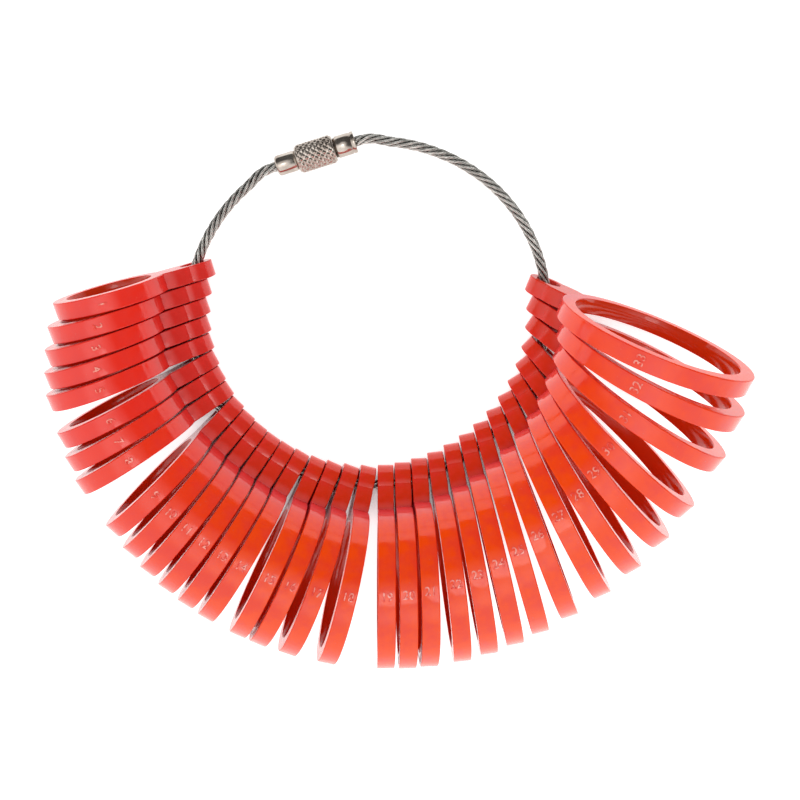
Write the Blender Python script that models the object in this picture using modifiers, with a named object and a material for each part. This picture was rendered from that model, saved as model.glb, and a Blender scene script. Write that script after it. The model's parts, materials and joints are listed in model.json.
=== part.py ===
"""Finger ring-sizer set: 33 moulded gauges on a wire-rope loop closed by a knurled screw clasp.

Metres, +Z up. The set lies on a table at Z = 0, with its middle at X = Y = 0. The loop is level,
the clasp is on the +Y side and the gauges stand on their rims around the -Y side, fanned outwards.
"""

from math import atan2, cos, pi, radians, sin, sqrt

import bpy
from mathutils import Vector

# Gauges: finger hole from size 1 to size 33, wall round it, plate thickness
BORE_SIZE_1 = 0.0118
BORE_STEP = 0.00035
RING_WALL = 0.0019
PLATE = 0.0024

# Eye that the rope runs through, and the tab between eye and ring
EYE_RADIUS = 0.0029
EYE_HOLE = 0.0018
EYE_TO_RING = 0.0042
TAB_START = 0.0010
TAB_END_HALF = 0.00286
TAB_BULGE = 0.00028
USUAL_PITCH = radians(28)

# Wire rope: loop half-widths across and along Y, how its top sways aside, its height and thickness
ROPE_RADIUS = 0.00075
LOOP_CENTRE = (-0.003498, 0.011577)
LOOP_HALF_X = 0.0266
LOOP_HALF_Y = 0.02575
LOOP_FLATTENING = 0.00045
LOOP_SWAY = 0.0008
ROPE_HEIGHT = 0.0030
ROPE_DROP = 0.00085
ROPE_POINTS = 52

# Clasp: where it sits round the loop, and its turned pieces
CLASP_ANGLE = radians(108.3)
CLASP_HALF_ARC = radians(13.4)
STRAIGHTEN_ARC = radians(11)
CLASP_GAP = 0.0003
SLEEVE_LENGTH = 0.0057
SLEEVE_RADIUS = 0.0021
SLEEVE_END_WALL = 0.0009
SLEEVE_CAVITY_LENGTH = 0.0016
SLEEVE_CAVITY_RADIUS = 0.0016
SLEEVE_THREAD_RADIUS = 0.0013
BARREL_LENGTH = 0.0029
SWIVEL_RADIUS = 0.0015
STUD_RADIUS = 0.0016
ROPE_SOCKET_DEPTH = 0.0021
ROPE_SOCKET_RADIUS = 0.00095
ROPE_END_GAP = 0.0002
CHAMFER = 0.0002
THREAD_CLEARANCE = 0.0002
FLANGE_CLEARANCE = 0.0001
GROOVE_FROM_END = 0.0006
GROOVE_HALF = 0.0001
GROOVE_DEPTH = 0.00012

RING_STEPS = 30
BORE_STEPS = 28
EYE_STEPS = 7
EYE_HOLE_STEPS = 12
TURNED_STEPS = 24

# Bunches of gauges round the loop, all angles in degrees:
# count, place of the first, arc to the last, crowding, heading of the first, turn to the last,
# how late the turn comes, lean of the first, lean of the last
BUNCHES = (
    (5, 165.8, 25.1, 0.965, 197.1, 3.8, 1.0, 9.0, 5.2),
    (3, 197.3, 11.8, 1.0, 208.5, 4.7, 1.0, 5.9, 3.3),
    (6, 215.8, 28.8, 0.985, 226.2, 12.5, 0.85, 6.2, 2.4),
    (4, 250.8, 18.1, 1.06, 244.7, 12.5, 2.1, 3.3, 4.1),
    (3, 275.9, 11.4, 1.0, 270.5, 2.1, 1.0, 2.0, 2.6),
    (4, 293.5, 18.9, 1.0, 277.2, 7.5, 1.0, 1.5, -2.7),
    (5, 319.1, 27.4, 1.0, 288.6, 22.3, 1.0, -4.9, -11.5),
    (3, 354.4, 14.0, 1.0, 320.7, 11.2, 0.7, -12.9, -15.1),
)


def clear_scene():
    for item in list(bpy.data.objects):
        bpy.data.objects.remove(item, do_unlink=True)


def make_material(name, colour, roughness, metallic):
    material = bpy.data.materials.new(name)
    material.use_nodes = True
    shader = material.node_tree.nodes["Principled BSDF"]
    shader.inputs["Base Color"].default_value = (*colour, 1.0)
    shader.inputs["Roughness"].default_value = roughness
    shader.inputs["Metallic"].default_value = metallic
    return material


def rope_point(angle):
    """A point of the rope's middle line, at an angle round the loop."""
    upwards = (1 + sin(angle)) / 2
    across = LOOP_CENTRE[0] + LOOP_HALF_X * cos(angle) + LOOP_SWAY * upwards**2
    along = LOOP_CENTRE[1] + sin(angle) * (LOOP_HALF_Y - LOOP_FLATTENING * sin(angle))
    height = ROPE_HEIGHT - ROPE_DROP * upwards**3
    return Vector((across, along, height))


def circle_points(radius, steps, centre_x=0.0):
    turns = [2 * pi * step / steps for step in range(steps)]
    return [(centre_x + radius * cos(turn), radius * sin(turn)) for turn in turns]


def gauge_outline(ring_radius, ring_centre):
    """Outer edge of a gauge: the eye, the bulging tab and the ring, from the tab's lower side."""
    eye_half = sqrt(EYE_RADIUS**2 - TAB_START**2)
    tab_end = ring_centre - sqrt(ring_radius**2 - TAB_END_HALF**2)
    eye_turn = atan2(eye_half, TAB_START)
    ring_turn = atan2(TAB_END_HALF, tab_end - ring_centre)
    points = []
    for step in range(EYE_STEPS + 1):
        turn = eye_turn + (2 * pi - 2 * eye_turn) * step / EYE_STEPS
        points.append((EYE_RADIUS * cos(turn), EYE_RADIUS * sin(turn)))
    lower_tab = []
    for share in (1 / 3, 2 / 3):
        half = eye_half + (TAB_END_HALF - eye_half) * share + TAB_BULGE * sin(pi * share)
        lower_tab.append((TAB_START + (tab_end - TAB_START) * share, -half))
    points += lower_tab
    for step in range(RING_STEPS + 1):
        turn = -ring_turn + 2 * ring_turn * step / RING_STEPS
        points.append((ring_centre + ring_radius * cos(turn), ring_radius * sin(turn)))
    points += [(x, -y) for x, y in reversed(lower_tab)]
    return points


def add_flat_spline(curve, points):
    spline = curve.splines.new("POLY")
    spline.points.add(len(points) - 1)
    for point, (x, y) in zip(spline.points, points):
        point.co = (x, y, 0.0, 1.0)
    spline.use_cyclic_u = True


def gauge_pose(ring_radius, ring_centre, lean):
    """Height of the eye and pitch of the tab, with eye and ring both standing on the table."""
    pitch = USUAL_PITCH
    for _ in range(8):
        tipped = abs(sin(lean) * cos(pitch))
        upright = sqrt(1 - tipped**2)
        eye_height = EYE_RADIUS * upright + PLATE / 2 * tipped
        ring_height = ring_radius * upright + PLATE / 2 * tipped
        rise = (ring_height - eye_height) / ring_centre
        pitch = atan2(rise, sqrt(1 - rise**2))
    return eye_height, pitch


def make_gauge(number, place, heading, lean, material, collection):
    ring_radius = (BORE_SIZE_1 + BORE_STEP * (number - 1)) / 2 + RING_WALL
    ring_centre = ring_radius + EYE_TO_RING
    curve = bpy.data.curves.new(f"gauge_{number:02d}", "CURVE")
    curve.dimensions = "2D"
    curve.fill_mode = "BOTH"
    curve.extrude = PLATE / 2
    add_flat_spline(curve, gauge_outline(ring_radius, ring_centre))
    add_flat_spline(curve, circle_points(EYE_HOLE, EYE_HOLE_STEPS))
    add_flat_spline(curve, circle_points(ring_radius - RING_WALL, BORE_STEPS, ring_centre))
    curve.materials.append(material)
    gauge = bpy.data.objects.new(curve.name, curve)
    eye_height, pitch = gauge_pose(ring_radius, ring_centre, lean)
    hole = rope_point(place)
    gauge.location = (hole.x, hole.y, eye_height)
    gauge.rotation_euler = (pi / 2 - lean, -pitch, heading)
    collection.objects.link(gauge)
    return gauge


def make_gauges(material, collection, parent):
    number = 0
    for count, start, arc, crowding, heading, turn, lateness, lean, last_lean in BUNCHES:
        for index in range(count):
            share = index / (count - 1)
            number += 1
            gauge = make_gauge(
                number,
                radians(start + arc * share**crowding),
                radians(heading + turn * share**lateness),
                radians(lean + (last_lean - lean) * share),
                material,
                collection,
            )
            gauge.parent = parent


def clasp_line():
    """Middle and direction of the clasp: a chord across the loop, pointing towards the stud."""
    swivel_end = rope_point(CLASP_ANGLE + CLASP_HALF_ARC)
    stud_end = rope_point(CLASP_ANGLE - CLASP_HALF_ARC)
    direction = stud_end - swivel_end
    direction.z = 0.0
    middle = (swivel_end + stud_end) / 2
    middle.z = SLEEVE_RADIUS
    return middle, direction.normalized()


def make_rope(material, collection, parent):
    """One length of rope, from the bottom of one ferrule's socket round to the other's."""
    middle, direction = clasp_line()
    clasp_half = SLEEVE_LENGTH / 2 + CLASP_GAP + BARREL_LENGTH
    first = CLASP_ANGLE + CLASP_HALF_ARC
    last = CLASP_ANGLE - CLASP_HALF_ARC + 2 * pi
    socket_bottom = clasp_half - ROPE_SOCKET_DEPTH + ROPE_END_GAP
    points = [middle - direction * socket_bottom]
    for index in range(ROPE_POINTS + 1):
        angle = first + (last - first) * index / ROPE_POINTS
        free = rope_point(angle)
        past = min(angle - first, last - angle) / STRAIGHTEN_ARC
        if past < 1:
            on_line = middle + direction * (free - middle).dot(direction)
            blend = past * past * (3 - 2 * past)
            free = on_line.lerp(free, blend)
        points.append(free)
    points.append(middle + direction * socket_bottom)
    curve = bpy.data.curves.new("wire_rope", "CURVE")
    curve.dimensions = "3D"
    curve.twist_mode = "Z_UP"
    curve.bevel_depth = ROPE_RADIUS
    curve.bevel_resolution = 2
    curve.use_fill_caps = True
    spline = curve.splines.new("POLY")
    spline.points.add(len(points) - 1)
    for point, place in zip(spline.points, points):
        point.co = (*place, 1.0)
    curve.materials.append(material)
    rope = bpy.data.objects.new("wire_rope", curve)
    rope.parent = parent
    collection.objects.link(rope)


def make_turned(name, profile, material, collection, parent):
    """A turned piece. The profile lists (distance along the axis, radius), closed on itself."""
    mesh = bpy.data.meshes.new(name)
    vertices = [(radius, 0.0, along) for along, radius in profile]
    edges = [(index, index + 1) for index in range(len(profile) - 1)]
    if profile[0][1] > 0:
        edges.append((len(profile) - 1, 0))
    mesh.from_pydata(vertices, edges, [])
    mesh.materials.append(material)
    turned = bpy.data.objects.new(name, mesh)
    screw = turned.modifiers.new("Turn", "SCREW")
    screw.axis = "Z"
    screw.angle = 2 * pi
    screw.steps = TURNED_STEPS
    screw.render_steps = TURNED_STEPS
    screw.use_merge_vertices = True
    screw.merge_threshold = 0.00001
    collection.objects.link(turned)
    evaluated = turned.evaluated_get(bpy.context.evaluated_depsgraph_get())
    shaped = bpy.data.meshes.new_from_object(evaluated)
    turned.modifiers.clear()
    turned.data = shaped
    shaped.shade_smooth()
    shaped.set_sharp_from_angle(angle=radians(35))
    turned.parent = parent


def make_clasp(material, collection, parent):
    """Clasp along the local Z axis: the stud is on the +Z side, the swivel on the -Z side."""
    half = SLEEVE_LENGTH / 2
    shoulder = half - SLEEVE_END_WALL
    cavity_end = shoulder - SLEEVE_CAVITY_LENGTH
    neck = SLEEVE_THREAD_RADIUS - THREAD_CLEARANCE
    sleeve = (
        (half - CHAMFER, SLEEVE_RADIUS),
        (-half + CHAMFER, SLEEVE_RADIUS),
        (-half, SLEEVE_RADIUS - CHAMFER),
        (-half, SLEEVE_THREAD_RADIUS),
        (-shoulder, SLEEVE_THREAD_RADIUS),
        (-shoulder, SLEEVE_CAVITY_RADIUS),
        (-cavity_end, SLEEVE_CAVITY_RADIUS),
        (-cavity_end, SLEEVE_THREAD_RADIUS),
        (half, SLEEVE_THREAD_RADIUS),
        (half, SLEEVE_RADIUS - CHAMFER),
    )
    make_turned("clasp_sleeve", sleeve, material, collection, parent)

    near = half + CLASP_GAP
    far = near + BARREL_LENGTH
    socket = far - ROPE_SOCKET_DEPTH
    flange_half = (SLEEVE_CAVITY_LENGTH - 2 * CLASP_GAP) / 2
    flange_middle = (shoulder + cavity_end) / 2
    swivel = (
        (-flange_middle + flange_half, 0.0),
        (-flange_middle + flange_half, SLEEVE_CAVITY_RADIUS - FLANGE_CLEARANCE),
        (-flange_middle - flange_half, SLEEVE_CAVITY_RADIUS - FLANGE_CLEARANCE),
        (-flange_middle - flange_half, neck),
        (-near, neck),
        (-near, SWIVEL_RADIUS),
        (-far + 2 * CHAMFER, SWIVEL_RADIUS),
        (-far, SWIVEL_RADIUS - 2 * CHAMFER),
        (-far, ROPE_SOCKET_RADIUS),
        (-socket, ROPE_SOCKET_RADIUS),
        (-socket, 0.0),
    )
    make_turned("clasp_swivel", swivel, material, collection, parent)

    stud_tip = -cavity_end + CLASP_GAP
    groove = far - GROOVE_FROM_END
    stud = (
        (socket, 0.0),
        (socket, ROPE_SOCKET_RADIUS),
        (far, ROPE_SOCKET_RADIUS),
        (far, STUD_RADIUS),
        (groove + GROOVE_HALF, STUD_RADIUS),
        (groove, STUD_RADIUS - GROOVE_DEPTH),
        (groove - GROOVE_HALF, STUD_RADIUS),
        (near, STUD_RADIUS),
        (near, neck),
        (stud_tip + CHAMFER, neck),
        (stud_tip, neck - CHAMFER),
        (stud_tip, 0.0),
    )
    make_turned("clasp_stud", stud, material, collection, parent)


def main():
    clear_scene()
    collection = bpy.data.collections.new("ring_sizer_set")
    bpy.context.scene.collection.children.link(collection)
    red = make_material("red_plastic", (0.80, 0.055, 0.035), 0.28, 0.0)
    steel = make_material("steel_rope", (0.36, 0.36, 0.34), 0.35, 1.0)
    nickel = make_material("nickel_plate", (0.72, 0.68, 0.63), 0.22, 1.0)

    root = bpy.data.objects.new("set_origin", None)
    collection.objects.link(root)
    make_gauges(red, collection, root)
    make_rope(steel, collection, root)

    middle, direction = clasp_line()
    clasp_axis = bpy.data.objects.new("clasp_axis", None)
    clasp_axis.location = middle
    clasp_axis.rotation_euler = (0.0, pi / 2, atan2(direction.y, direction.x))
    clasp_axis.parent = root
    collection.objects.link(clasp_axis)
    make_clasp(nickel, collection, clasp_axis)


main()
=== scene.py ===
"""Looks for the finger ring-sizer set: gloss red gauges on a wire-rope loop with a knurled clasp.

Metres, +Z up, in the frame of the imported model. Gauges are placed from the model's own joints, and
the rope follows the same route as its CAD node.
"""

import json
from math import asin, atan2, ceil, cos, pi, radians, sin, sqrt

import bmesh
import bpy
from mathutils import Matrix, Vector, noise


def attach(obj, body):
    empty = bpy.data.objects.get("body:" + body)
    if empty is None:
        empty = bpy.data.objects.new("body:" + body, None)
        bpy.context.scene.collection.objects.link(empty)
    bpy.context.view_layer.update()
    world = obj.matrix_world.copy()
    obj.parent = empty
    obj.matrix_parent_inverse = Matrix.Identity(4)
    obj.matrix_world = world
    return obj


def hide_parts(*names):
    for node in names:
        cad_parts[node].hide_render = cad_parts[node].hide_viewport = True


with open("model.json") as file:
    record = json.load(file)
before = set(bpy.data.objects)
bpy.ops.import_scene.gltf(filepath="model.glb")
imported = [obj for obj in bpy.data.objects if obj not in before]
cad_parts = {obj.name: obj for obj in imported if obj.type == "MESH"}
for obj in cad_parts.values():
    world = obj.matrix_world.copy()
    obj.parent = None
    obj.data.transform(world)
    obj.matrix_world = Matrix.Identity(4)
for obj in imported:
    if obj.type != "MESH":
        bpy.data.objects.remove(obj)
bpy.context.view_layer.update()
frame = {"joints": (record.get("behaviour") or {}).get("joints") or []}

UP = Vector((0.0, 0.0, 1.0))
ROUNDING_STEPS = 4

# Camera
SENSOR_MM = 36.0
LENS_MM = 34.01
LENS_SHIFT = (0.0059, -0.0656)
CAMERA_PLACE = (0.00075, 0.02011, 0.11539)
CAMERA_TILT = radians(-6.88)
NEAREST_SEEN = 0.002
FARTHEST_SEEN = 20.0

# Light: the way to the dark back of the studio, the small light overhead, and what the camera sees
BACK_X = 0.26
BACK_Y = 0.966
LIGHT_TINT = (1.0, 0.99, 0.985, 1.0)
BACKDROP_STRENGTH = 1.1
TOP_LIGHT_SIZE = 0.12
TOP_LIGHT_WATTS = 0.08
TOP_LIGHT_PLACE = (0.001, 0.018, 0.35)

# Table
FLOOR_SIZE = 4.0
FLOOR_GRID = 24
FLOOR_GREYS = ((0.58, 0.58, 0.58, 1.0), (0.60, 0.60, 0.60, 1.0))
# Painted shade on the table in narrow gaps, dim and red with painted bounce light from the plates
FLOOR_PAINTED_GAP_SHADE = (0.22, 0.03, 0.03, 1.0)
FLOOR_GLOW = 0.85
FLOOR_GAP_REACH = 0.012

# Plastic: the colours of a crimson and of an orange gauge at its eye, ring start and ring
# The eye's reds are darker than the ring's: painted shade
EYE_SHADED_REDS = ((0.70, 0.030, 0.022, 1.0), (0.74, 0.036, 0.007, 1.0))
# Darker ring starts are painted shade by the crease; an orange gauge's pink one is a painted
# reflection
RING_START_SHADE_AND_SHEEN_REDS = ((0.72, 0.028, 0.020, 1.0), (0.82, 0.075, 0.092, 1.0))
RING_REDS = ((0.90, 0.032, 0.016, 1.0), (0.99, 0.072, 0.001, 1.0))
CLOUD_RED = (0.84, 0.036, 0.028, 1.0)
SPECK_RED = (0.84, 0.10, 0.06, 1.0)
# The bore's wall is darker: painted shade inside the hole
BORE_SHADED_RED = (0.66, 0.036, 0.004, 1.0)
# Dark crimson in narrow gaps between gauges: painted shade
RED_PAINTED_GAP_SHADE = (0.55, 0.014, 0.026, 1.0)
# The second, pale red of the figures is a painted glint
NUMBER_REDS = ((0.86, 0.050, 0.025, 1.0), (0.95, 0.30, 0.22, 1.0))
CLOUD_SHARE = 0.55
RED_GAP_REACH = 0.0025

# Where those colours change, from the eye's middle along the gauge, and where its flat sides begin
EYE_ENDS = (0.0044, 0.0047)
RING_START_ENDS = (0.0052, 0.0085)
SIDES_BEGIN = (0.00108, 0.00116)

# Metals
WIRE_GREYS = ((0.46, 0.45, 0.42, 1.0), (0.82, 0.81, 0.76, 1.0))
# Painted shade: the crevices between wires are near black
WIRE_CREVICE_SHADE = (0.05, 0.045, 0.04, 1.0)
WIRE_CREVICE_REACH = 0.00035
NICKEL_GREYS = ((0.42, 0.36, 0.31, 1.0), (0.62, 0.56, 0.50, 1.0))
POLISHED_ROUGHNESS = (0.13, 0.20)
KNURLED_ROUGHNESS = (0.12, 0.24)

# Gauges: finger hole from size 1 upwards, wall round it, plate thickness
BORE_SIZE_1 = 0.0118
BORE_STEP = 0.00035
RING_WALL = 0.0019
PLATE = 0.0024

# Eye that the rope runs through, and the tab between eye and ring
EYE_RADIUS = 0.0029
EYE_HOLE = 0.0018
EYE_TO_RING = 0.0042
TAB_START = 0.0010
TAB_END_HALF = 0.00286
TAB_BULGE = 0.00028

# Edges of a gauge
EDGE_ROUNDING = 0.00018
HOLE_ROUNDING = 0.00012
OUTLINE_STEP = 0.00034
LEAST_ARC_STEPS = 6
LARGEST_MITRE = 2.0

# Waves left by moulding: their depth, how many go to a metre along a wall and across it, and what
# tells one edge's from another's. An outer edge's seed is its gauge's number.
WAVE_DEPTH = 0.000012
BROAD_WAVES = (320, 320, 260)
BROAD_SEED_STEP = 7.3
FINE_WAVES = (900, 900, 700)
FINE_SEED_STEP = 3.1
FINE_SHARE = 0.5
EYE_SEED = 40
BORE_SEED = 80

# How the plastic's colour changes through the set, by gauge number
GAUGES = 33
CRIMSON_TO = 6
ORANGE_FROM = 15
ORANGE_TO = 27
LAST_PALING = 0.4

# Size number raised on the ring's rim
NUMBER_TURN = radians(75)
DIGIT_SIZE = 0.0016
DIGIT_HEIGHT = 0.00009
DIGIT_SINK = 0.00006
DIGIT_BEVEL_SHARE = 0.15

# Wire rope: loop half-widths across and along Y, how its top sways aside, its height and thickness
ROPE_RADIUS = 0.00075
LOOP_CENTRE = (-0.003498, 0.011577)
LOOP_HALF_X = 0.0266
LOOP_HALF_Y = 0.02575
LOOP_FLATTENING = 0.00045
LOOP_SWAY = 0.0008
ROPE_HEIGHT = 0.0030
ROPE_DROP = 0.00085
ROPE_POINTS = 460

# Strands and wires, in equal thirds of the rope, and the sides of each tube
STRANDS = 6
WIRES = 6
STRAND_RADIUS = ROPE_RADIUS / 3
WIRE_RADIUS = STRAND_RADIUS / 3
STRAND_CORE_RADIUS = WIRE_RADIUS * 1.1
STRAND_LAY = 0.0095
WIRE_LAY = 0.0042
CORE_SIDES = 8
STRAND_CORE_SIDES = 5
WIRE_SIDES = 6

# Clasp: where it sits round the loop, and where the rope's ends run straight into it
CLASP_ANGLE = radians(108.3)
CLASP_HALF_ARC = radians(13.4)
STRAIGHTEN_ARC = radians(11)

# Clasp: sleeve
SLEEVE_LENGTH = 0.0057
SLEEVE_RADIUS = 0.0021
SLEEVE_THREAD_RADIUS = 0.0013
SLEEVE_RIM = 0.00028
SLEEVE_RIM_RADIUS = SLEEVE_RADIUS - 0.0002
SLEEVE_CHAMFER = 0.00012
KNURL_STARTS = 15
KNURL_DEPTH = 0.00022
KNURL_FLAT = 0.18
KNURL_STEPS_PER_START = 10
KNURL_ROWS = 64
KNURL_EDGE = 0.00003
KNURL_EDGE_RADIUS = SLEEVE_RADIUS - 0.00004
SLEEVE_CREASE = radians(24)

# Clasp: the two barrels, which start beside the sleeve with a collar and hold the rope's ends
CLASP_GAP = 0.0003
BARREL_NEAR = SLEEVE_LENGTH / 2 + CLASP_GAP
BARREL_LENGTH = 0.0029
BARREL_FAR = BARREL_NEAR + BARREL_LENGTH
BARREL_CORNER = 0.0001
BARREL_CREASE = radians(28)
SWIVEL_RADIUS = 0.0015
SWIVEL_ROUNDING = 0.00045
SWIVEL_NECK = 0.0016
STUD_RADIUS = 0.0016
STUD_ROUNDING = 0.00014
STUD_NECK = 0.0026
STUD_GROOVE = 0.0006
STUD_GROOVE_DEPTH = 0.0001
NECK_RADIUS = SLEEVE_THREAD_RADIUS - 0.0002
COLLAR_LENGTH = 0.00024
COLLAR_RADIUS = 0.00142
ROPE_SOCKET_DEPTH = 0.0021
ROPE_SOCKET_RADIUS = 0.00095
ROPE_END_GAP = 0.0002
SMALLEST_RADIUS = 0.00002
TURNED_STEPS = 72


# ---------------------------------------------------------------- camera, light and floor


def make_camera():
    data = bpy.data.cameras.new("camera")
    data.sensor_width = SENSOR_MM
    data.lens = LENS_MM
    data.shift_x, data.shift_y = LENS_SHIFT
    data.clip_start = NEAREST_SEEN
    data.clip_end = FARTHEST_SEEN
    camera = bpy.data.objects.new("camera", data)
    camera.location = CAMERA_PLACE
    camera.rotation_euler = (CAMERA_TILT, 0.0, 0.0)
    bpy.context.scene.collection.objects.link(camera)
    bpy.context.scene.camera = camera


class Nodes:
    """Short calls for building a node tree."""

    def __init__(self, tree):
        self.tree = tree

    def add(self, kind, **settings):
        node = self.tree.nodes.new(kind)
        for name, value in settings.items():
            setattr(node, name, value)
        return node

    def link(self, source, target):
        self.tree.links.new(source, target)

    def feed(self, socket, value):
        if isinstance(value, bpy.types.NodeSocket):
            self.link(value, socket)
        else:
            socket.default_value = value

    def maths(self, operation, first, second=0.0):
        node = self.add("ShaderNodeMath", operation=operation)
        self.feed(node.inputs[0], first)
        self.feed(node.inputs[1], second)
        return node.outputs[0]

    def ramp(self, value, low, high, to_low=0.0, to_high=1.0):
        node = self.add("ShaderNodeMapRange", interpolation_type="SMOOTHSTEP")
        self.feed(node.inputs["Value"], value)
        node.inputs["From Min"].default_value = low
        node.inputs["From Max"].default_value = high
        node.inputs["To Min"].default_value = to_low
        node.inputs["To Max"].default_value = to_high
        return node.outputs["Result"]

    def noise(self, coordinates, scale, detail=3.0, roughness=0.5, distortion=0.0):
        node = self.add("ShaderNodeTexNoise")
        self.link(coordinates, node.inputs["Vector"])
        node.inputs["Scale"].default_value = scale
        node.inputs["Detail"].default_value = detail
        node.inputs["Roughness"].default_value = roughness
        node.inputs["Distortion"].default_value = distortion
        return node.outputs["Fac"]

    def mix(self, factor, first, second):
        node = self.add("ShaderNodeMix", data_type="RGBA")
        self.feed(node.inputs[0], factor)
        self.feed(node.inputs[6], first)
        self.feed(node.inputs[7], second)
        return node.outputs[2]

    def bump(self, height, strength, distance, normal=None):
        node = self.add("ShaderNodeBump")
        self.link(height, node.inputs["Height"])
        node.inputs["Strength"].default_value = strength
        node.inputs["Distance"].default_value = distance
        if normal is not None:
            self.link(normal, node.inputs["Normal"])
        return node.outputs["Normal"]

    def openness(self, reach, low, high, samples):
        """How open a place is, from 0 deep in a gap to 1 outside it."""
        node = self.add("ShaderNodeAmbientOcclusion", samples=samples)
        node.inputs["Distance"].default_value = reach
        return self.ramp(node.outputs["AO"], low, high)

    def attribute(self, name, output):
        return self.add("ShaderNodeAttribute", attribute_name=name).outputs[output]


def make_world():
    """Even soft light. Shiny surfaces mirror a bright front and top and a dark back."""
    world = bpy.data.worlds.new("studio")
    world.use_nodes = True
    tree = world.node_tree
    tree.nodes.clear()
    nodes = Nodes(tree)
    direction = nodes.add("ShaderNodeTexCoord").outputs["Generated"]
    parts = nodes.add("ShaderNodeSeparateXYZ")
    nodes.link(direction, parts.inputs[0])
    towards_back = nodes.maths(
        "ADD",
        nodes.maths("MULTIPLY", parts.outputs["X"], BACK_X),
        nodes.maths("MULTIPLY", parts.outputs["Y"], BACK_Y),
    )
    front_panel = nodes.ramp(towards_back, 0.12, -0.38, to_low=0.03, to_high=1.3)
    top_panel = nodes.ramp(parts.outputs["Z"], 0.80, 0.97, to_low=0.0, to_high=0.9)
    panels = nodes.maths("ADD", front_panel, top_panel)
    fill = nodes.ramp(towards_back, 0.9, -0.9, to_low=0.68, to_high=1.04)
    ray = nodes.add("ShaderNodeLightPath")
    strength = nodes.add("ShaderNodeMix", data_type="FLOAT")
    nodes.link(ray.outputs["Is Glossy Ray"], strength.inputs[0])
    nodes.link(fill, strength.inputs[2])
    nodes.link(panels, strength.inputs[3])
    light = nodes.add("ShaderNodeBackground")
    light.inputs["Color"].default_value = LIGHT_TINT
    nodes.link(strength.outputs[0], light.inputs["Strength"])
    backdrop = nodes.add("ShaderNodeBackground")
    backdrop.inputs["Color"].default_value = (1.0, 1.0, 1.0, 1.0)
    backdrop.inputs["Strength"].default_value = BACKDROP_STRENGTH
    choice = nodes.add("ShaderNodeMixShader")
    nodes.link(ray.outputs["Is Camera Ray"], choice.inputs[0])
    nodes.link(light.outputs[0], choice.inputs[1])
    nodes.link(backdrop.outputs[0], choice.inputs[2])
    output = nodes.add("ShaderNodeOutputWorld")
    nodes.link(choice.outputs[0], output.inputs[0])
    bpy.context.scene.world = world


def make_top_light():
    """A small soft light above the middle of the loop, which the rims mirror near their numbers."""
    data = bpy.data.lights.new("top_light", "AREA")
    data.shape = "DISK"
    data.size = TOP_LIGHT_SIZE
    data.energy = TOP_LIGHT_WATTS
    light = bpy.data.objects.new("top_light", data)
    light.location = TOP_LIGHT_PLACE
    light.visible_camera = False
    bpy.context.scene.collection.objects.link(light)


def make_floor():
    """A white table that glows where it is open. In narrow gaps it has painted shade, dim and red.
    """
    bpy.ops.mesh.primitive_grid_add(
        x_subdivisions=FLOOR_GRID, y_subdivisions=FLOOR_GRID, size=FLOOR_SIZE
    )
    floor = bpy.context.object
    floor.name = "floor"
    material = bpy.data.materials.new("pale_floor")
    material.use_nodes = True
    nodes = Nodes(material.node_tree)
    shader = material.node_tree.nodes["Principled BSDF"]
    place = nodes.add("ShaderNodeTexCoord").outputs["Object"]
    plain = nodes.mix(nodes.noise(place, scale=6.0), *FLOOR_GREYS)
    # Painted shade: in a narrow gap the table turns dim red and stops glowing
    unshaded_share = nodes.openness(FLOOR_GAP_REACH, 0.06, 0.18, samples=8)
    nodes.link(nodes.mix(unshaded_share, FLOOR_PAINTED_GAP_SHADE, plain), shader.inputs["Base Color"])
    shader.inputs["Roughness"].default_value = 0.7
    shader.inputs["Specular IOR Level"].default_value = 0.2
    shader.inputs["Emission Color"].default_value = (1.0, 1.0, 1.0, 1.0)
    glow = nodes.maths("MULTIPLY", unshaded_share, FLOOR_GLOW)
    nodes.link(glow, shader.inputs["Emission Strength"])
    floor.data.materials.append(material)


# ---------------------------------------------------------------- materials


def new_material(name):
    material = bpy.data.materials.new(name)
    material.use_nodes = True
    nodes = Nodes(material.node_tree)
    shader = material.node_tree.nodes["Principled BSDF"]
    return material, nodes, shader, nodes.attribute("own_place", "Vector")


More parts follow.
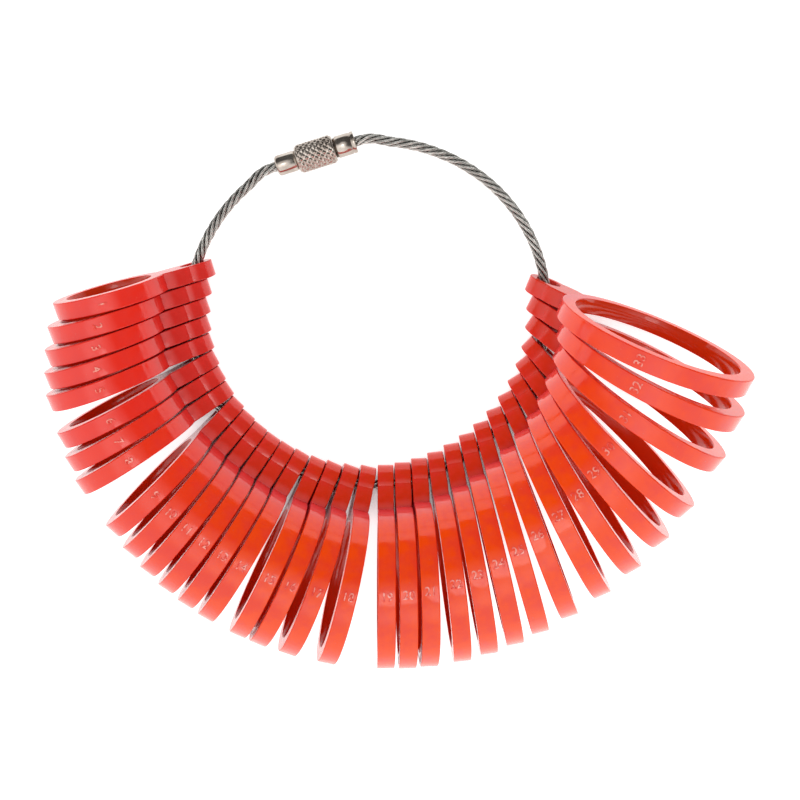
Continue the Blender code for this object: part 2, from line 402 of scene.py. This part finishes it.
def make_red_plastic():
    """Gloss moulded plastic: crimson on some gauges, orange on the rings of others, mottled, with
    painted shade and a painted reflection.
    """
    material, nodes, shader, place = new_material("red_moulded_plastic")
    split = nodes.add("ShaderNodeSeparateXYZ")
    nodes.link(place, split.inputs[0])
    along, height = split.outputs["X"], split.outputs["Z"]

    warmth = nodes.attribute("warmth", "Fac")
    # Painted shade darkens the eye and the ring start; a painted reflection makes an orange gauge's
    # ring start pink
    eye = nodes.mix(warmth, *EYE_SHADED_REDS)
    ring_start_shade_and_sheen = nodes.mix(warmth, *RING_START_SHADE_AND_SHEEN_REDS)
    ring = nodes.mix(warmth, *RING_REDS)
    past_eye = nodes.mix(nodes.ramp(along, *RING_START_ENDS), ring_start_shade_and_sheen, ring)
    plain = nodes.mix(nodes.ramp(along, *EYE_ENDS), eye, past_eye)

    cloud = nodes.ramp(nodes.noise(place, scale=420.0, detail=3.0, roughness=0.55), 0.35, 0.7)
    mottled = nodes.mix(CLOUD_SHARE, plain, nodes.mix(cloud, plain, CLOUD_RED))
    speck = nodes.ramp(nodes.noise(place, scale=2600.0, detail=2.0, roughness=0.6), 0.70, 0.78)
    specked = nodes.mix(speck, mottled, SPECK_RED)

    # Painted shade: dark crimson where a gauge lies in a narrow gap
    unshaded_share = nodes.openness(RED_GAP_REACH, 0.08, 0.50, samples=4)
    # Painted shade: the bore's wall is darker
    outer = nodes.mix(nodes.attribute("bore", "Fac"), specked, BORE_SHADED_RED)
    nodes.link(nodes.mix(unshaded_share, RED_PAINTED_GAP_SHADE, outer), shader.inputs["Base Color"])

    side = nodes.ramp(nodes.maths("ABSOLUTE", height), *SIDES_BEGIN)
    shine = nodes.ramp(side, 0.0, 1.0, to_low=0.5, to_high=0.09)
    # Painted shade on the reflections: the shine is taken out in narrow gaps
    shine_shaded_in_gaps = nodes.maths("MULTIPLY", unshaded_share, shine)
    nodes.link(shine_shaded_in_gaps, shader.inputs["Specular IOR Level"])
    shader.inputs["IOR"].default_value = 1.5
    blotch = nodes.noise(place, scale=900.0, detail=4.0, roughness=0.6)
    roughness = nodes.ramp(blotch, 0.3, 0.75, to_low=0.07, to_high=0.20)
    nodes.link(roughness, shader.inputs["Roughness"])

    swell = nodes.noise(place, scale=330.0, detail=2.0, roughness=0.5)
    grain = nodes.noise(place, scale=1800.0, detail=3.0, roughness=0.6, distortion=0.4)
    broad = nodes.bump(swell, strength=0.07, distance=0.00006)
    fine = nodes.bump(grain, strength=0.18, distance=0.00002, normal=broad)
    nodes.link(fine, shader.inputs["Normal"])
    return material


def make_number_plastic():
    """The raised figures, pale in broken patches that are painted glints, and shinier there."""
    material, nodes, shader, place = new_material("red_number_plastic")
    # Painted highlight: pale patches on the figures stand in for glints
    glint_patches = nodes.ramp(nodes.noise(place, scale=2400.0, detail=3.0, roughness=0.6), 0.40, 0.60)
    nodes.link(nodes.mix(glint_patches, *NUMBER_REDS), shader.inputs["Base Color"])
    roughness = nodes.ramp(glint_patches, 0.0, 1.0, to_low=0.35, to_high=0.12)
    nodes.link(roughness, shader.inputs["Roughness"])
    shine = nodes.ramp(glint_patches, 0.0, 1.0, to_low=0.3, to_high=1.0)
    nodes.link(shine, shader.inputs["Specular IOR Level"])
    grain = nodes.noise(place, scale=3600.0, detail=3.0, roughness=0.65)
    nodes.link(nodes.bump(grain, strength=0.5, distance=0.00003), shader.inputs["Normal"])
    return material


def make_rope_steel():
    """Drawn stainless wire, with dirt-dark and bright stretches along it, and painted shade in its
    crevices.
    """
    material, nodes, shader, place = new_material("drawn_steel_wire")
    shader.inputs["Metallic"].default_value = 1.0
    stain = nodes.ramp(nodes.noise(place, scale=700.0, detail=3.0, roughness=0.6), 0.3, 0.75)
    # Painted shade in the crevices between wires
    unshaded_share = nodes.openness(WIRE_CREVICE_REACH, 0.42, 0.85, samples=8)
    grey = nodes.mix(unshaded_share, WIRE_CREVICE_SHADE, nodes.mix(stain, *WIRE_GREYS))
    nodes.link(grey, shader.inputs["Base Color"])
    blotch = nodes.noise(place, scale=2500.0)
    roughness = nodes.ramp(blotch, 0.3, 0.7, to_low=0.20, to_high=0.42)
    nodes.link(roughness, shader.inputs["Roughness"])
    drawn = nodes.noise(place, scale=5200.0, detail=2.0, roughness=0.6)
    nodes.link(nodes.bump(drawn, strength=0.25, distance=0.00001), shader.inputs["Normal"])
    return material


def make_nickel(name, roughness_range):
    """Nickel plate over turned metal. Its fine rings draw reflections out along the axis."""
    material, nodes, shader, place = new_material(name)
    shader.inputs["Metallic"].default_value = 0.88
    tarnish = nodes.noise(place, scale=500.0, detail=3.0, roughness=0.6)
    grey = nodes.mix(nodes.ramp(tarnish, 0.35, 0.75), *NICKEL_GREYS)
    nodes.link(grey, shader.inputs["Base Color"])
    roughness = nodes.ramp(nodes.noise(place, scale=1500.0), 0.3, 0.7, *roughness_range)
    nodes.link(roughness, shader.inputs["Roughness"])
    axis = nodes.add("ShaderNodeCombineXYZ")
    for value, direction in zip(axis.inputs, clasp_line()[1]):
        value.default_value = direction
    nodes.link(axis.outputs[0], shader.inputs["Tangent"])
    shader.inputs["Anisotropic"].default_value = 0.7
    squeeze = nodes.add("ShaderNodeMapping")
    nodes.link(place, squeeze.inputs["Vector"])
    squeeze.inputs["Scale"].default_value = (0.05, 0.05, 1.0)
    turned = nodes.noise(squeeze.outputs[0], scale=9000.0, detail=2.0, roughness=0.6)
    nodes.link(nodes.bump(turned, strength=0.18, distance=0.00001), shader.inputs["Normal"])
    return material


# ---------------------------------------------------------------- mesh helpers


def new_object(name, mesh, material, placement):
    """A piece put in place by its vertices. Its material follows the piece's own axes."""
    own_place = mesh.attributes.new("own_place", "FLOAT_VECTOR", "POINT")
    for stored, vertex in zip(own_place.data, mesh.vertices):
        stored.vector = vertex.co
    mesh.transform(placement)
    mesh.materials.append(material)
    made = bpy.data.objects.new(name, mesh)
    bpy.context.scene.collection.objects.link(made)
    return made


def finish_mesh(bm, name):
    bmesh.ops.recalc_face_normals(bm, faces=bm.faces)
    mesh = bpy.data.meshes.new(name)
    bm.to_mesh(mesh)
    bm.free()
    return mesh


def quarter_turns():
    """The angles at which a rounded corner has its points."""
    return [pi / 2 * step / ROUNDING_STEPS for step in range(ROUNDING_STEPS + 1)]


def join_rows(bm, rows, closed=False):
    """Smooth quads between rows of vertices, each row a closed ring."""
    pairs = list(zip(rows, rows[1:]))
    if closed:
        pairs.append((rows[-1], rows[0]))
    for lower, upper in pairs:
        count = len(lower)
        for index in range(count):
            after = (index + 1) % count
            face = bm.faces.new((lower[index], lower[after], upper[after], upper[index]))
            face.smooth = True


# ---------------------------------------------------------------- gauges


def ring_size(number):
    """The outer radius of a gauge's ring, and how far its middle is from the eye's."""
    ring_radius = (BORE_SIZE_1 + BORE_STEP * (number - 1)) / 2 + RING_WALL
    return ring_radius, ring_radius + EYE_TO_RING


def arc_points(centre_x, radius, start, end):
    steps = max(LEAST_ARC_STEPS, ceil(abs(end - start) * radius / OUTLINE_STEP))
    turns = [start + (end - start) * step / steps for step in range(steps + 1)]
    return [(centre_x + radius * cos(turn), radius * sin(turn)) for turn in turns]


def gauge_outline(ring_radius, ring_centre):
    """A gauge's outer edge, anticlockwise from the eye, and the indexes of its creases."""
    eye_half = sqrt(EYE_RADIUS**2 - TAB_START**2)
    tab_end = ring_centre - sqrt(ring_radius**2 - TAB_END_HALF**2)
    eye_turn = atan2(eye_half, TAB_START)
    ring_turn = atan2(TAB_END_HALF, tab_end - ring_centre)
    tab_length = tab_end - TAB_START
    tab_steps = ceil(tab_length / OUTLINE_STEP)
    lower_tab = []
    for step in range(1, tab_steps):
        share = step / tab_steps
        half = eye_half + (TAB_END_HALF - eye_half) * share + TAB_BULGE * sin(pi * share)
        lower_tab.append((TAB_START + tab_length * share, -half))
    upper_tab = [(x, -y) for x, y in reversed(lower_tab)]
    points = arc_points(0.0, EYE_RADIUS, eye_turn, 2 * pi - eye_turn)
    creases = [0, len(points) - 1]
    points += lower_tab
    creases.append(len(points))
    points += arc_points(ring_centre, ring_radius, -ring_turn, ring_turn)
    creases.append(len(points) - 1)
    points += upper_tab
    return points, creases


def circle_outline(centre_x, radius):
    return arc_points(centre_x, radius, 0.0, 2 * pi)[:-1]


def corner_normals(points):
    """At each point of an anticlockwise outline, the outward shift that moves both edges by one."""
    normals = []
    count = len(points)
    for index, point in enumerate(points):
        before, after = points[index - 1], points[(index + 1) % count]
        first = Vector((point[1] - before[1], before[0] - point[0])).normalized()
        second = Vector((after[1] - point[1], point[0] - after[0])).normalized()
        middle = (first + second).normalized()
        normals.append(middle / max(1 / LARGEST_MITRE, middle.dot(first)))
    return normals


def edge_profile(rounding):
    """Steps across a plate's edge, as (distance in from the outline, height)."""
    half = PLATE / 2
    lower = [
        (rounding * (1 - sin(turn)), -half + rounding * (1 - cos(turn)))
        for turn in quarter_turns()
    ]
    upper = [(inset, -height) for inset, height in reversed(lower)]
    return [*lower, (0.0, 0.0), *upper]


def one_wave(place, waves, seed_turn):
    """A wave's height at a place on a wall, from -2 to 0."""
    x, y, height = (along * count for along, count in zip(place, waves))
    return noise.noise(Vector((x, y, height + seed_turn))) - 1.0


def moulded_wave(place, seed):
    """How far a moulded wall is out of true at a place. It never swells outwards."""
    broad = one_wave(place, BROAD_WAVES, seed * BROAD_SEED_STEP)
    fine = FINE_SHARE * one_wave(place, FINE_WAVES, seed * FINE_SEED_STEP)
    return (broad + fine) * WAVE_DEPTH


def add_edge(bm, points, rounding, inwards, seed):
    """The rounded edge of one outline. inwards is 1 if the plate is inside it, -1 round a hole."""
    normals = corner_normals(points)
    rows = []
    for inset, height in edge_profile(rounding):
        row = []
        for (x, y), normal in zip(points, normals):
            shift = -inwards * inset
            if inset == 0.0:
                shift += moulded_wave((x, y, height), seed)
            row.append(bm.verts.new((x + normal.x * shift, y + normal.y * shift, height)))
        rows.append(row)
    join_rows(bm, rows)
    return rows


def ring_edges(bm, row):
    return [bm.edges.get((row[index - 1], vertex)) for index, vertex in enumerate(row)]


def make_gauge_mesh(number):
    ring_radius, ring_centre = ring_size(number)
    outline, creases = gauge_outline(ring_radius, ring_centre)
    eye_outline = circle_outline(0.0, EYE_HOLE)
    bore_outline = circle_outline(ring_centre, ring_radius - RING_WALL)
    bm = bmesh.new()
    outer = add_edge(bm, outline, EDGE_ROUNDING, 1, number)
    eye = add_edge(bm, eye_outline, HOLE_ROUNDING, -1, number + EYE_SEED)
    bore = add_edge(bm, bore_outline, HOLE_ROUNDING, -1, number + BORE_SEED)
    for lower, upper in zip(outer, outer[1:]):
        for crease in creases:
            bm.edges.get((lower[crease], upper[crease])).smooth = False
    for side in (0, -1):
        rims = [edge for rows in (outer, eye, bore) for edge in ring_edges(bm, rows[side])]
        bmesh.ops.triangle_fill(bm, edges=rims, use_beauty=True)
    return finish_mesh(bm, f"gauge_{number:02d}_mesh")


def on_rim(number, along, across, height):
    """A point on the ring's rim: along it from the number's middle, across it, and above it."""
    ring_radius, ring_centre = ring_size(number)
    turn = NUMBER_TURN + along / ring_radius
    radius = ring_radius + height
    return Vector((ring_centre + radius * cos(turn), radius * sin(turn), across))


def flat_figures(number):
    """The size as figures of even thickness, their middles level with Z = 0."""
    curve = bpy.data.curves.new("digits", "FONT")
    curve.body = str(number)
    curve.size = DIGIT_SIZE
    curve.align_x = "CENTER"
    curve.align_y = "CENTER"
    curve.extrude = (DIGIT_HEIGHT + DIGIT_SINK) / 2
    curve.bevel_depth = DIGIT_HEIGHT * DIGIT_BEVEL_SHARE
    curve.bevel_resolution = 0
    curve.resolution_u = 3
    text = bpy.data.objects.new("digits", curve)
    bpy.context.scene.collection.objects.link(text)
    evaluated = text.evaluated_get(bpy.context.evaluated_depsgraph_get())
    shape = bpy.data.meshes.new_from_object(evaluated)
    figures = bmesh.new()
    figures.from_mesh(shape)
    bmesh.ops.remove_doubles(figures, verts=figures.verts, dist=1e-7)
    bpy.data.objects.remove(text)
    bpy.data.curves.remove(curve)
    bpy.data.meshes.remove(shape)
    return figures


def make_number_mesh(number):
    """The figures bent round the ring's rim, their tops towards the eye."""
    figures = flat_figures(number)
    lift = (DIGIT_HEIGHT - DIGIT_SINK) / 2
    bm = bmesh.new()
    bent = {}
    for vertex in figures.verts:
        along, across, height = vertex.co.y, -vertex.co.x, vertex.co.z + lift
        bent[vertex] = bm.verts.new(on_rim(number, along, across, height))
    for face in figures.faces:
        bm.faces.new([bent[vertex] for vertex in face.verts])
    figures.free()
    return finish_mesh(bm, f"gauge_{number:02d}_number_mesh")


def colour_warmth(number):
    """How orange a gauge is: not at all among the first, most in the middle of the set."""
    rising = min(1.0, max(0.0, (number - CRIMSON_TO) / (ORANGE_FROM - CRIMSON_TO)))
    falling = min(1.0, max(0.0, (number - ORANGE_TO) / (GAUGES - ORANGE_TO)))
    return rising * (1 - LAST_PALING * falling)


def mark_colour(mesh, number):
    """What the colour follows: the gauge's warmth, and whether a point is on the bore's wall, which
    has painted shade.
    """
    ring_radius, ring_centre = ring_size(number)
    ring_middle = Vector((ring_centre, 0.0))
    warmth = mesh.attributes.new("warmth", "FLOAT", "POINT")
    bore = mesh.attributes.new("bore", "FLOAT", "POINT")
    for index, stored in enumerate(mesh.attributes["own_place"].data):
        place = stored.vector
        warmth.data[index].value = colour_warmth(number)
        from_middle = (place.xy - ring_middle).length
        on_wall = abs(place.z) < PLATE / 2 - HOLE_ROUNDING / 2
        in_ring = from_middle < ring_radius - RING_WALL / 2
        bore.data[index].value = float(on_wall and in_ring)


def gauge_placement(joint, number):
    """Where a gauge sits: its eye on its hinge, and its ring's rim on the table."""
    ring_radius, ring_centre = ring_size(number)
    eye = Vector(joint["pos_m"])
    across = Vector(joint["axis"]).normalized()
    level = UP.cross(across).normalized()
    upwards = across.cross(level)
    tipped = abs(across.z)
    ring_height = ring_radius * sqrt(1 - tipped**2) + PLATE / 2 * tipped
    pitch = asin((ring_height - eye.z) / ring_centre / upwards.z)
    along = level * cos(pitch) + upwards * sin(pitch)
    turn = Matrix((along, across.cross(along), across)).transposed().to_4x4()
    return Matrix.Translation(eye) @ turn


def make_gauges(plastic, number_plastic):
    for joint in frame["joints"]:
        body = joint["child"]
        if not body.startswith("gauge_"):
            continue
        number = int(body.split("_")[1])
        placement = gauge_placement(joint, number)
        gauge = new_object(f"{body}_body", make_gauge_mesh(number), plastic, placement)
        mark_colour(gauge.data, number)
        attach(gauge, body)
        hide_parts(body)
        figures = new_object(
            f"{body}_number", make_number_mesh(number), number_plastic, placement
        )
        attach(figures, body)


# ---------------------------------------------------------------- rope


def rope_point(angle):
    """A point of the rope's middle line, at an angle round the loop."""
    upwards = (1 + sin(angle)) / 2
    across = LOOP_CENTRE[0] + LOOP_HALF_X * cos(angle) + LOOP_SWAY * upwards**2
    along = LOOP_CENTRE[1] + sin(angle) * (LOOP_HALF_Y - LOOP_FLATTENING * sin(angle))
    height = ROPE_HEIGHT - ROPE_DROP * upwards**3
    return Vector((across, along, height))


def clasp_line():
    """Middle and direction of the clasp: a chord across the loop, pointing towards the stud."""
    swivel_end = rope_point(CLASP_ANGLE + CLASP_HALF_ARC)
    stud_end = rope_point(CLASP_ANGLE - CLASP_HALF_ARC)
    direction = stud_end - swivel_end
    direction.z = 0.0
    middle = (swivel_end + stud_end) / 2
    middle.z = SLEEVE_RADIUS
    return middle, direction.normalized()


def rope_route():
    """The rope's middle line, from the bottom of one barrel's socket round to the other's."""
    middle, direction = clasp_line()
    first = CLASP_ANGLE + CLASP_HALF_ARC
    last = CLASP_ANGLE - CLASP_HALF_ARC + 2 * pi
    socket_bottom = BARREL_FAR - ROPE_SOCKET_DEPTH + ROPE_END_GAP
    points = [middle - direction * socket_bottom]
    for index in range(ROPE_POINTS + 1):
        angle = first + (last - first) * index / ROPE_POINTS
        free = rope_point(angle)
        past = min(angle - first, last - angle) / STRAIGHTEN_ARC
        if past < 1:
            on_line = middle + direction * (free - middle).dot(direction)
            blend = past * past * (3 - 2 * past)
            free = on_line.lerp(free, blend)
        points.append(free)
    points.append(middle + direction * socket_bottom)
    return points


def line_directions(points):
    """The direction of a line of points at each of them."""
    last = len(points) - 1
    return [
        (points[min(index + 1, last)] - points[max(index - 1, 0)]).normalized()
        for index in range(last + 1)
    ]


def add_wire(bm, centres, radius, sides, outwards):
    """One wire: a closed tube through the centres. outwards says where each row of it starts."""
    rows = []
    for centre, ahead, outward in zip(centres, line_directions(centres), outwards):
        outward = (outward - ahead * outward.dot(ahead)).normalized()
        upward = ahead.cross(outward)
        row = []
        for step in range(sides):
            turn = 2 * pi * step / sides
            place = centre + (outward * cos(turn) + upward * sin(turn)) * radius
            row.append(bm.verts.new(place))
        rows.append(row)
    join_rows(bm, rows)
    bm.faces.new(list(reversed(rows[0])))
    bm.faces.new(rows[-1])


def add_strand(bm, number, route, travelled, sides, ups):
    """One strand: six wires round a thin one, laid the other way from the strands."""
    line, outwards, rounds = [], [], []
    for point, distance, side, up in zip(route, travelled, sides, ups):
        turn = 2 * pi * (number / STRANDS + distance / STRAND_LAY)
        outward = side * cos(turn) + up * sin(turn)
        line.append(point + outward * (ROPE_RADIUS - STRAND_RADIUS))
        outwards.append(outward)
        rounds.append(up * cos(turn) - side * sin(turn))
    add_wire(bm, line, STRAND_CORE_RADIUS, STRAND_CORE_SIDES, outwards)
    for wire in range(WIRES):
        wire_line, wire_outwards = [], []
        for point, distance, outward, along_round in zip(line, travelled, outwards, rounds):
            turn = 2 * pi * (wire / WIRES - distance / WIRE_LAY)
            wire_outward = outward * cos(turn) + along_round * sin(turn)
            wire_line.append(point + wire_outward * (STRAND_RADIUS - WIRE_RADIUS))
            wire_outwards.append(wire_outward)
        add_wire(bm, wire_line, WIRE_RADIUS, WIRE_SIDES, wire_outwards)


def make_rope(steel):
    """Six strands of six wires laid left-handed round a core."""
    route = rope_route()
    travelled = [0.0]
    for before, after in zip(route, route[1:]):
        travelled.append(travelled[-1] + (after - before).length)
    sides, ups = [], []
    for ahead in line_directions(route):
        side = ahead.cross(UP).normalized()
        sides.append(side)
        ups.append(side.cross(ahead))
    bm = bmesh.new()
    add_wire(bm, route, STRAND_RADIUS, CORE_SIDES, sides)
    for strand in range(STRANDS):
        add_strand(bm, strand, route, travelled, sides, ups)
    mesh = finish_mesh(bm, "wire_rope_strands")
    rope = new_object("wire_rope_strands", mesh, steel, Matrix.Identity(4))
    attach(rope, "loop")
    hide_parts("wire_rope")
    middle, direction = clasp_line()


# ---------------------------------------------------------------- clasp


def fillet(along, radius, size):
    """Points of a rounded corner from a turned piece's side to its end, which is at `along`."""
    return [
        (along - size * (1 - sin(turn)), radius - size * (1 - cos(turn)))
        for turn in quarter_turns()
    ]


def sharpen(bm, angle):
    for edge in bm.edges:
        if len(edge.link_faces) == 2 and edge.calc_face_angle() > angle:
            edge.smooth = False


def knurl(turn, along):
    """How deep the crossed grooves are at a place, from 0 on a point to 1 in a groove."""
    pitch = 2 * pi / KNURL_STARTS
    lead = along / (SLEEVE_RADIUS * pitch)
    depth = 0.0
    for direction in (1, -1):
        place = turn / pitch + direction * lead
        nearest = abs(place - round(place))
        depth = max(depth, 1 - nearest / 0.5)
    return max(0.0, (depth - KNURL_FLAT) / (1 - KNURL_FLAT))


def turned_piece(name, profile, steps, crease, nickel, placement):
    """A closed shape round the clasp's axis. Its profile lists (along, radius, share of knurl)."""
    bm = bmesh.new()
    rows = []
    for along, radius, knurled in profile:
        row = []
        for step in range(steps):
            turn = 2 * pi * step / steps
            reach = radius - knurled * KNURL_DEPTH * knurl(turn, along)
            row.append(bm.verts.new((reach * cos(turn), reach * sin(turn), along)))
        rows.append(row)
    join_rows(bm, rows, closed=True)
    sharpen(bm, crease)
    return new_object(name, finish_mesh(bm, name), nickel, placement)


def make_sleeve(nickel, placement):
    """The knurled nut, with a plain turned rim at each end."""
    half = SLEEVE_LENGTH / 2
    rim = half - SLEEVE_RIM
    knurl_half = rim - 2 * KNURL_EDGE
    right_end = [
        (rim - KNURL_EDGE, KNURL_EDGE_RADIUS, 1.0),
        (rim, SLEEVE_RIM_RADIUS, 0.0),
        (half - SLEEVE_CHAMFER, SLEEVE_RIM_RADIUS, 0.0),
        (half, SLEEVE_RIM_RADIUS - SLEEVE_CHAMFER, 0.0),
        (half, SLEEVE_THREAD_RADIUS, 0.0),
    ]
    left_end = [(-along, radius, knurled) for along, radius, knurled in reversed(right_end)]
    middle = [
        (-knurl_half + 2 * knurl_half * row / KNURL_ROWS, SLEEVE_RADIUS, 1.0)
        for row in range(KNURL_ROWS + 1)
    ]
    return turned_piece(
        "clasp_sleeve_knurled",
        left_end + middle + right_end,
        KNURL_STARTS * KNURL_STEPS_PER_START,
        SLEEVE_CREASE,
        nickel,
        placement,
    )


def make_barrel(name, side, neck_length, radius, outer_end, nickel, placement):
    """A barrel, its neck running into the sleeve. side is -1 left and 1 right of the sleeve."""
    inner = BARREL_NEAR - neck_length
    collar = BARREL_NEAR - COLLAR_LENGTH
    socket = BARREL_FAR - ROPE_SOCKET_DEPTH
    section = [
        (inner, SMALLEST_RADIUS),
        (inner, NECK_RADIUS),
        (collar, NECK_RADIUS),
        (collar, COLLAR_RADIUS),
        (BARREL_NEAR, COLLAR_RADIUS),
        (BARREL_NEAR + BARREL_CORNER * 0.4, radius - BARREL_CORNER * 0.6),
        (BARREL_NEAR + BARREL_CORNER, radius),
        *outer_end,
        (BARREL_FAR, ROPE_SOCKET_RADIUS),
        (socket, ROPE_SOCKET_RADIUS),
        (socket, SMALLEST_RADIUS),
    ]
    profile = [(side * along, reach, 0.0) for along, reach in section]
    return turned_piece(name, profile, TURNED_STEPS, BARREL_CREASE, nickel, placement)


def make_swivel(nickel, placement):
    """Left barrel, with a well rounded outer end."""
    rounded = fillet(BARREL_FAR, SWIVEL_RADIUS, SWIVEL_ROUNDING)
    return make_barrel(
        "clasp_swivel_barrel", -1, SWIVEL_NECK, SWIVEL_RADIUS, rounded, nickel, placement
    )


def make_stud(nickel, placement):
    """Right barrel, with a turned groove near its outer end."""
    groove = BARREL_FAR - STUD_GROOVE
    floor_radius = STUD_RADIUS - STUD_GROOVE_DEPTH
    grooved = [
        (groove - BARREL_CORNER, STUD_RADIUS),
        (groove - BARREL_CORNER * 0.4, floor_radius),
        (groove + BARREL_CORNER * 0.4, floor_radius),
        (groove + BARREL_CORNER, STUD_RADIUS),
        *fillet(BARREL_FAR, STUD_RADIUS, STUD_ROUNDING),
    ]
    return make_barrel(
        "clasp_stud_barrel", 1, STUD_NECK, STUD_RADIUS, grooved, nickel, placement
    )


def make_clasp(polished, knurled):
    middle, direction = clasp_line()
    heading = Matrix.Rotation(atan2(direction.y, direction.x), 4, "Z")
    placement = Matrix.Translation(middle) @ (heading @ Matrix.Rotation(pi / 2, 4, "Y"))
    for piece, body, node in (
        (make_sleeve(knurled, placement), "sleeve", "clasp_sleeve"),
        (make_swivel(polished, placement), "loop", "clasp_swivel"),
        (make_stud(polished, placement), "loop", "clasp_stud"),
    ):
        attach(piece, body)
        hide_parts(node)


def main():
    bpy.context.scene.view_settings.view_transform = "Standard"
    make_camera()
    make_rope(make_rope_steel())
    make_world()
    make_top_light()
    make_floor()
    make_gauges(make_red_plastic(), make_number_plastic())
    polished = make_nickel("polished_nickel", POLISHED_ROUGHNESS)
    knurled = make_nickel("knurled_nickel", KNURLED_ROUGHNESS)
    make_clasp(polished, knurled)


main()
